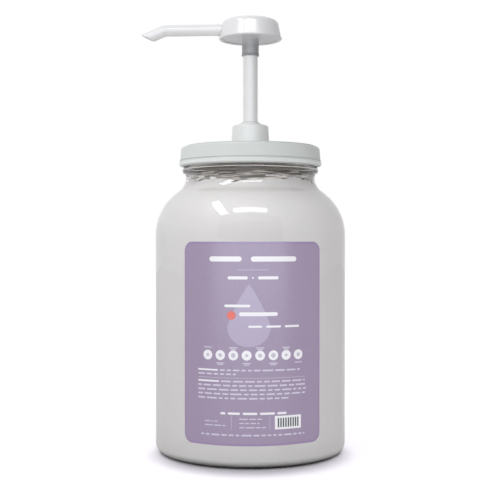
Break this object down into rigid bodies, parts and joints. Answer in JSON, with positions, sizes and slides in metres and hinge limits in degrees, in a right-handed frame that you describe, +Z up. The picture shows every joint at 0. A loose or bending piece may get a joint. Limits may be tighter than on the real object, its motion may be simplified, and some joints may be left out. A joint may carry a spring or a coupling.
{
  "type": "pump lotion jar",
  "caption": "Wide-mouth glass jar full of lotion, with a screw lid and a long-stroke hand pump: the head presses down and swivels, and the lid unscrews.",
  "frame": {"origin": "centre of the jar's flat base, on the axis that the jar, the lid and the pump share", "axes": "+Z up along the jar's axis; the label faces -Y; the spout points along -X at rest"},
  "size_m": [0.1685, 0.1571, 0.3562],
  "materials": {
    "glass": "clear, smooth, faintly green",
    "lotion": "off-white cream, opaque",
    "label": "purple printed film, semi-gloss",
    "lid_plastic": "white polypropylene, satin",
    "foam": "white closed-cell foam",
    "seal": "pale rubber",
    "pump_plastic": "white polypropylene, glossy",
    "valve_plastic": "white polypropylene, as moulded",
    "soft_plastic": "soft white polyethylene",
    "tube_plastic": "natural polyethylene tube",
    "spring_steel": "stainless wire",
    "ball_steel": "polished stainless balls"
  },
  "bodies": {
    "jar": {"glass_jar": "glass", "front_label": "label", "lotion_fill": "lotion"},
    "liner": {"lid_liner": "foam"},
    "lid": {"screw_lid": "lid_plastic", "cylinder_gasket": "seal", "pump_cylinder": "valve_plastic", "pump_collar": "pump_plastic", "stem_bush": "valve_plastic", "stem_wiper": "soft_plastic", "inlet_ball_cage": "valve_plastic", "dip_tube": "tube_plastic", "return_spring": "spring_steel"},
    "piston": {"piston_carrier": "valve_plastic", "upper_piston_seal": "soft_plastic", "lower_piston_seal": "soft_plastic"},
    "head": {"stem_tube": "pump_plastic", "outlet_valve_seat": "valve_plastic", "outlet_ball_cage": "valve_plastic", "head_core": "pump_plastic", "head_cap": "pump_plastic", "spout_tube": "pump_plastic"},
    "inlet_ball": {"inlet_ball": "ball_steel"},
    "outlet_ball": {"outlet_ball": "ball_steel"}
  },
  "joints": [
    {"name": "lid_rise", "type": "slide", "parent": "jar", "child": "liner", "axis": [0, 0, 1], "range_m": [0, 0.0054]},
    {"name": "lid_turn", "type": "hinge", "parent": "liner", "child": "lid", "pos_m": [0, 0, 0.242], "axis": [0, 0, 1], "range_deg": [0, 380]},
    {"name": "pump_stroke", "type": "slide", "parent": "lid", "child": "piston", "axis": [0, 0, -1], "range_m": [0, 0.054], "stiffness_N_per_m": 250, "springref_m": -0.04, "deforming": ["return_spring"]},
    {"name": "spout_swivel", "type": "hinge", "parent": "piston", "child": "head", "pos_m": [0, 0, 0.3473], "axis": [0, 0, 1], "continuous": true},
    {"name": "inlet_ball_lift", "type": "slide", "parent": "lid", "child": "inlet_ball", "axis": [0, 0, 1], "range_m": [0, 0.0025]},
    {"name": "outlet_ball_lift", "type": "slide", "parent": "head", "child": "outlet_ball", "axis": [0, 0, 1], "range_m": [0, 0.0025]}
  ],
  "couplings": [
    {"joint": "lid_rise", "follows": "lid_turn", "m_per_rad": 0.00080851}
  ]
}
